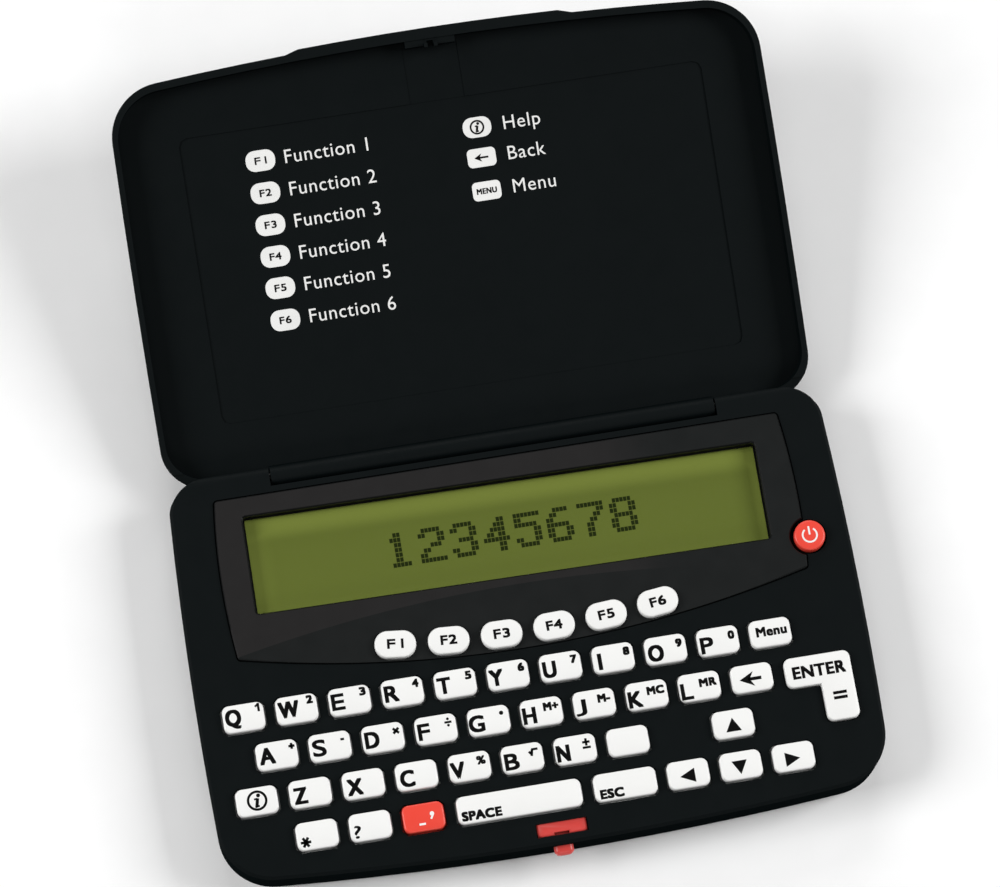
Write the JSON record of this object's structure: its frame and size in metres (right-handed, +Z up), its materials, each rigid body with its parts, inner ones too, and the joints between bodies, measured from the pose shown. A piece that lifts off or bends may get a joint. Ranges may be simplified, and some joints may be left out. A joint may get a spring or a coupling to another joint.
{
  "type": "electronic dictionary",
  "caption": "Clamshell pocket electronic dictionary with a hinged lid, a strip-shaped display, a sprung keyboard with an L-shaped enter key, oval function keys and a front release latch.",
  "frame": {"origin": "centre of the base's flat underside, on the surface it rests on", "axes": "+Z up through the keyboard, +Y from the keyboard to the hinge and the open lid, +X to the right along the key rows; the lid is stored open"},
  "size_m": [0.1272, 0.1586, 0.0299],
  "materials": {
    "black_case": "satin moulded plastic",
    "surround": "semi-gloss moulded plastic",
    "window": "clear, polished",
    "lcd": "reflective display glass, olive",
    "white_key": "satin moulded plastic, printed",
    "red_key": "satin moulded plastic, printed",
    "red_latch": "satin moulded plastic",
    "membrane": "matt moulded silicone",
    "board": "laminate with solder resist",
    "steel": "plated steel"
  },
  "bodies": {
    "base": {"bottom_case": "black_case", "top_case": "black_case", "display_surround": "surround", "display_window": "window", "lcd_panel": "lcd", "circuit_board": "board", "key_membrane": "membrane", "hinge_pins": "steel", "latch_spring": "steel", "battery_cover": "black_case", "coin_cells": "steel", "case_screws": "steel"},
    "lid": {"lid": "black_case"},
    "latch": {"latch_slider": "red_latch"},
    "key_q": {"key_q": "white_key"},
    "key_w": {"key_w": "white_key"},
    "key_e": {"key_e": "white_key"},
    "key_r": {"key_r": "white_key"},
    "key_t": {"key_t": "white_key"},
    "key_y": {"key_y": "white_key"},
    "key_u": {"key_u": "white_key"},
    "key_i": {"key_i": "white_key"},
    "key_o": {"key_o": "white_key"},
    "key_p": {"key_p": "white_key"},
    "key_menu": {"key_menu": "white_key"},
    "key_a": {"key_a": "white_key"},
    "key_s": {"key_s": "white_key"},
    "key_d": {"key_d": "white_key"},
    "key_f": {"key_f": "white_key"},
    "key_g": {"key_g": "white_key"},
    "key_h": {"key_h": "white_key"},
    "key_j": {"key_j": "white_key"},
    "key_k": {"key_k": "white_key"},
    "key_l": {"key_l": "white_key"},
    "key_back": {"key_back": "white_key"},
    "key_enter": {"key_enter": "white_key"},
    "key_info": {"key_info": "white_key"},
    "key_z": {"key_z": "white_key"},
    "key_x": {"key_x": "white_key"},
    "key_c": {"key_c": "white_key"},
    "key_v": {"key_v": "white_key"},
    "key_b": {"key_b": "white_key"},
    "key_n": {"key_n": "white_key"},
    "key_m": {"key_m": "white_key"},
    "key_up": {"key_up": "white_key"},
    "key_star": {"key_star": "white_key"},
    "key_question": {"key_question": "white_key"},
    "key_hyphen": {"key_hyphen": "red_key"},
    "key_space": {"key_space": "white_key"},
    "key_esc": {"key_esc": "white_key"},
    "key_left": {"key_left": "white_key"},
    "key_down": {"key_down": "white_key"},
    "key_right": {"key_right": "white_key"},
    "key_function_1": {"key_function_1": "white_key"},
    "key_function_2": {"key_function_2": "white_key"},
    "key_function_3": {"key_function_3": "white_key"},
    "key_function_4": {"key_function_4": "white_key"},
    "key_function_5": {"key_function_5": "white_key"},
    "key_function_6": {"key_function_6": "white_key"},
    "power_button": {"power_button": "red_key"}
  },
  "joints": [
    {"name": "lid_hinge", "type": "hinge", "parent": "base", "child": "lid", "pos_m": [0, 0.0394, 0.00905], "axis": [1, 0, 0], "range_deg": [0, 164]},
    {"name": "latch_slide", "type": "slide", "parent": "base", "child": "latch", "axis": [0, 1, 0], "range_m": [0, 0.0009], "stiffness_N_per_m": 500, "deforming": ["latch_spring"]},
    {"name": "key_q_press", "type": "slide", "parent": "base", "child": "key_q", "axis": [0, 0, -1], "range_m": [0, 0.0008], "stiffness_N_per_m": 500, "deforming": ["key_membrane"]},
    {"name": "key_w_press", "type": "slide", "parent": "base", "child": "key_w", "axis": [0, 0, -1], "range_m": [0, 0.0008], "stiffness_N_per_m": 500, "deforming": ["key_membrane"]},
    {"name": "key_e_press", "type": "slide", "parent": "base", "child": "key_e", "axis": [0, 0, -1], "range_m": [0, 0.0008], "stiffness_N_per_m": 500, "deforming": ["key_membrane"]},
    {"name": "key_r_press", "type": "slide", "parent": "base", "child": "key_r", "axis": [0, 0, -1], "range_m": [0, 0.0008], "stiffness_N_per_m": 500, "deforming": ["key_membrane"]},
    {"name": "key_t_press", "type": "slide", "parent": "base", "child": "key_t", "axis": [0, 0, -1], "range_m": [0, 0.0008], "stiffness_N_per_m": 500, "deforming": ["key_membrane"]},
    {"name": "key_y_press", "type": "slide", "parent": "base", "child": "key_y", "axis": [0, 0, -1], "range_m": [0, 0.0008], "stiffness_N_per_m": 500, "deforming": ["key_membrane"]},
    {"name": "key_u_press", "type": "slide", "parent": "base", "child": "key_u", "axis": [0, 0, -1], "range_m": [0, 0.0008], "stiffness_N_per_m": 500, "deforming": ["key_membrane"]},
    {"name": "key_i_press", "type": "slide", "parent": "base", "child": "key_i", "axis": [0, 0, -1], "range_m": [0, 0.0008], "stiffness_N_per_m": 500, "deforming": ["key_membrane"]},
    {"name": "key_o_press", "type": "slide", "parent": "base", "child": "key_o", "axis": [0, 0, -1], "range_m": [0, 0.0008], "stiffness_N_per_m": 500, "deforming": ["key_membrane"]},
    {"name": "key_p_press", "type": "slide", "parent": "base", "child": "key_p", "axis": [0, 0, -1], "range_m": [0, 0.0008], "stiffness_N_per_m": 500, "deforming": ["key_membrane"]},
    {"name": "key_menu_press", "type": "slide", "parent": "base", "child": "key_menu", "axis": [0, 0, -1], "range_m": [0, 0.0008], "stiffness_N_per_m": 500, "deforming": ["key_membrane"]},
    {"name": "key_a_press", "type": "slide", "parent": "base", "child": "key_a", "axis": [0, 0, -1], "range_m": [0, 0.0008], "stiffness_N_per_m": 500, "deforming": ["key_membrane"]},
    {"name": "key_s_press", "type": "slide", "parent": "base", "child": "key_s", "axis": [0, 0, -1], "range_m": [0, 0.0008], "stiffness_N_per_m": 500, "deforming": ["key_membrane"]},
    {"name": "key_d_press", "type": "slide", "parent": "base", "child": "key_d", "axis": [0, 0, -1], "range_m": [0, 0.0008], "stiffness_N_per_m": 500, "deforming": ["key_membrane"]},
    {"name": "key_f_press", "type": "slide", "parent": "base", "child": "key_f", "axis": [0, 0, -1], "range_m": [0, 0.0008], "stiffness_N_per_m": 500, "deforming": ["key_membrane"]},
    {"name": "key_g_press", "type": "slide", "parent": "base", "child": "key_g", "axis": [0, 0, -1], "range_m": [0, 0.0008], "stiffness_N_per_m": 500, "deforming": ["key_membrane"]},
    {"name": "key_h_press", "type": "slide", "parent": "base", "child": "key_h", "axis": [0, 0, -1], "range_m": [0, 0.0008], "stiffness_N_per_m": 500, "deforming": ["key_membrane"]},
    {"name": "key_j_press", "type": "slide", "parent": "base", "child": "key_j", "axis": [0, 0, -1], "range_m": [0, 0.0008], "stiffness_N_per_m": 500, "deforming": ["key_membrane"]},
    {"name": "key_k_press", "type": "slide", "parent": "base", "child": "key_k", "axis": [0, 0, -1], "range_m": [0, 0.0008], "stiffness_N_per_m": 500, "deforming": ["key_membrane"]},
    {"name": "key_l_press", "type": "slide", "parent": "base", "child": "key_l", "axis": [0, 0, -1], "range_m": [0, 0.0008], "stiffness_N_per_m": 500, "deforming": ["key_membrane"]},
    {"name": "key_back_press", "type": "slide", "parent": "base", "child": "key_back", "axis": [0, 0, -1], "range_m": [0, 0.0008], "stiffness_N_per_m": 500, "deforming": ["key_membrane"]},
    {"name": "key_enter_press", "type": "slide", "parent": "base", "child": "key_enter", "axis": [0, 0, -1], "range_m": [0, 0.0008], "stiffness_N_per_m": 500, "deforming": ["key_membrane"]},
    {"name": "key_info_press", "type": "slide", "parent": "base", "child": "key_info", "axis": [0, 0, -1], "range_m": [0, 0.0008], "stiffness_N_per_m": 500, "deforming": ["key_membrane"]},
    {"name": "key_z_press", "type": "slide", "parent": "base", "child": "key_z", "axis": [0, 0, -1], "range_m": [0, 0.0008], "stiffness_N_per_m": 500, "deforming": ["key_membrane"]},
    {"name": "key_x_press", "type": "slide", "parent": "base", "child": "key_x", "axis": [0, 0, -1], "range_m": [0, 0.0008], "stiffness_N_per_m": 500, "deforming": ["key_membrane"]},
    {"name": "key_c_press", "type": "slide", "parent": "base", "child": "key_c", "axis": [0, 0, -1], "range_m": [0, 0.0008], "stiffness_N_per_m": 500, "deforming": ["key_membrane"]},
    {"name": "key_v_press", "type": "slide", "parent": "base", "child": "key_v", "axis": [0, 0, -1], "range_m": [0, 0.0008], "stiffness_N_per_m": 500, "deforming": ["key_membrane"]},
    {"name": "key_b_press", "type": "slide", "parent": "base", "child": "key_b", "axis": [0, 0, -1], "range_m": [0, 0.0008], "stiffness_N_per_m": 500, "deforming": ["key_membrane"]},
    {"name": "key_n_press", "type": "slide", "parent": "base", "child": "key_n", "axis": [0, 0, -1], "range_m": [0, 0.0008], "stiffness_N_per_m": 500, "deforming": ["key_membrane"]},
    {"name": "key_m_press", "type": "slide", "parent": "base", "child": "key_m", "axis": [0, 0, -1], "range_m": [0, 0.0008], "stiffness_N_per_m": 500, "deforming": ["key_membrane"]},
    {"name": "key_up_press", "type": "slide", "parent": "base", "child": "key_up", "axis": [0, 0, -1], "range_m": [0, 0.0008], "stiffness_N_per_m": 500, "deforming": ["key_membrane"]},
    {"name": "key_star_press", "type": "slide", "parent": "base", "child": "key_star", "axis": [0, 0, -1], "range_m": [0, 0.0008], "stiffness_N_per_m": 500, "deforming": ["key_membrane"]},
    {"name": "key_question_press", "type": "slide", "parent": "base", "child": "key_question", "axis": [0, 0, -1], "range_m": [0, 0.0008], "stiffness_N_per_m": 500, "deforming": ["key_membrane"]},
    {"name": "key_hyphen_press", "type": "slide", "parent": "base", "child": "key_hyphen", "axis": [0, 0, -1], "range_m": [0, 0.0008], "stiffness_N_per_m": 500, "deforming": ["key_membrane"]},
    {"name": "key_space_press", "type": "slide", "parent": "base", "child": "key_space", "axis": [0, 0, -1], "range_m": [0, 0.0008], "stiffness_N_per_m": 500, "deforming": ["key_membrane"]},
    {"name": "key_esc_press", "type": "slide", "parent": "base", "child": "key_esc", "axis": [0, 0, -1], "range_m": [0, 0.0008], "stiffness_N_per_m": 500, "deforming": ["key_membrane"]},
    {"name": "key_left_press", "type": "slide", "parent": "base", "child": "key_left", "axis": [0, 0, -1], "range_m": [0, 0.0008], "stiffness_N_per_m": 500, "deforming": ["key_membrane"]},
    {"name": "key_down_press", "type": "slide", "parent": "base", "child": "key_down", "axis": [0, 0, -1], "range_m": [0, 0.0008], "stiffness_N_per_m": 500, "deforming": ["key_membrane"]},
    {"name": "key_right_press", "type": "slide", "parent": "base", "child": "key_right", "axis": [0, 0, -1], "range_m": [0, 0.0008], "stiffness_N_per_m": 500, "deforming": ["key_membrane"]},
    {"name": "key_function_1_press", "type": "slide", "parent": "base", "child": "key_function_1", "axis": [0, 0, -1], "range_m": [0, 0.0008], "stiffness_N_per_m": 500, "deforming": ["key_membrane"]},
    {"name": "key_function_2_press", "type": "slide", "parent": "base", "child": "key_function_2", "axis": [0, 0, -1], "range_m": [0, 0.0008], "stiffness_N_per_m": 500, "deforming": ["key_membrane"]},
    {"name": "key_function_3_press", "type": "slide", "parent": "base", "child": "key_function_3", "axis": [0, 0, -1], "range_m": [0, 0.0008], "stiffness_N_per_m": 500, "deforming": ["key_membrane"]},
    {"name": "key_function_4_press", "type": "slide", "parent": "base", "child": "key_function_4", "axis": [0, 0, -1], "range_m": [0, 0.0008], "stiffness_N_per_m": 500, "deforming": ["key_membrane"]},
    {"name": "key_function_5_press", "type": "slide", "parent": "base", "child": "key_function_5", "axis": [0, 0, -1], "range_m": [0, 0.0008], "stiffness_N_per_m": 500, "deforming": ["key_membrane"]},
    {"name": "key_function_6_press", "type": "slide", "parent": "base", "child": "key_function_6", "axis": [0, 0, -1], "range_m": [0, 0.0008], "stiffness_N_per_m": 500, "deforming": ["key_membrane"]},
    {"name": "power_button_press", "type": "slide", "parent": "base", "child": "power_button", "axis": [0, 0, -1], "range_m": [0, 0.0008], "stiffness_N_per_m": 500, "deforming": ["key_membrane"]}
  ]
}
